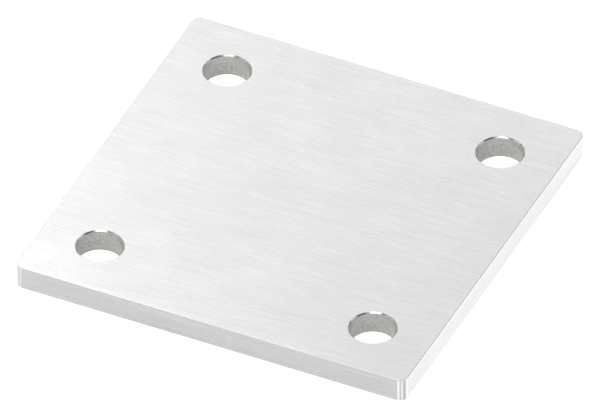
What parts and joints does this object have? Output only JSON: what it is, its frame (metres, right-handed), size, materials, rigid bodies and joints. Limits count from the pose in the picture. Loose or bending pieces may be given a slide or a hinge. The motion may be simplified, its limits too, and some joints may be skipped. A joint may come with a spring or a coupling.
{
  "type": "anchor plate",
  "caption": "Flat square plate of brushed stainless steel with rounded corners and a chamfered through hole near each corner, for bolting a post, bracket or fixture down to a floor or wall.",
  "frame": {"origin": "middle of the underside, the flat face that lies on the floor or wall", "axes": "+Z out of the top face, away from what the plate is bolted to; +X along the brushed grain; +Y across the grain"},
  "size_m": [0.1, 0.1, 0.006],
  "materials": {
    "stainless_steel": "brushed along X on both faces, with satin side faces and bored holes"
  },
  "bodies": {
    "root": {"anchor_plate": "stainless_steel"}
  },
  "joints": []
}
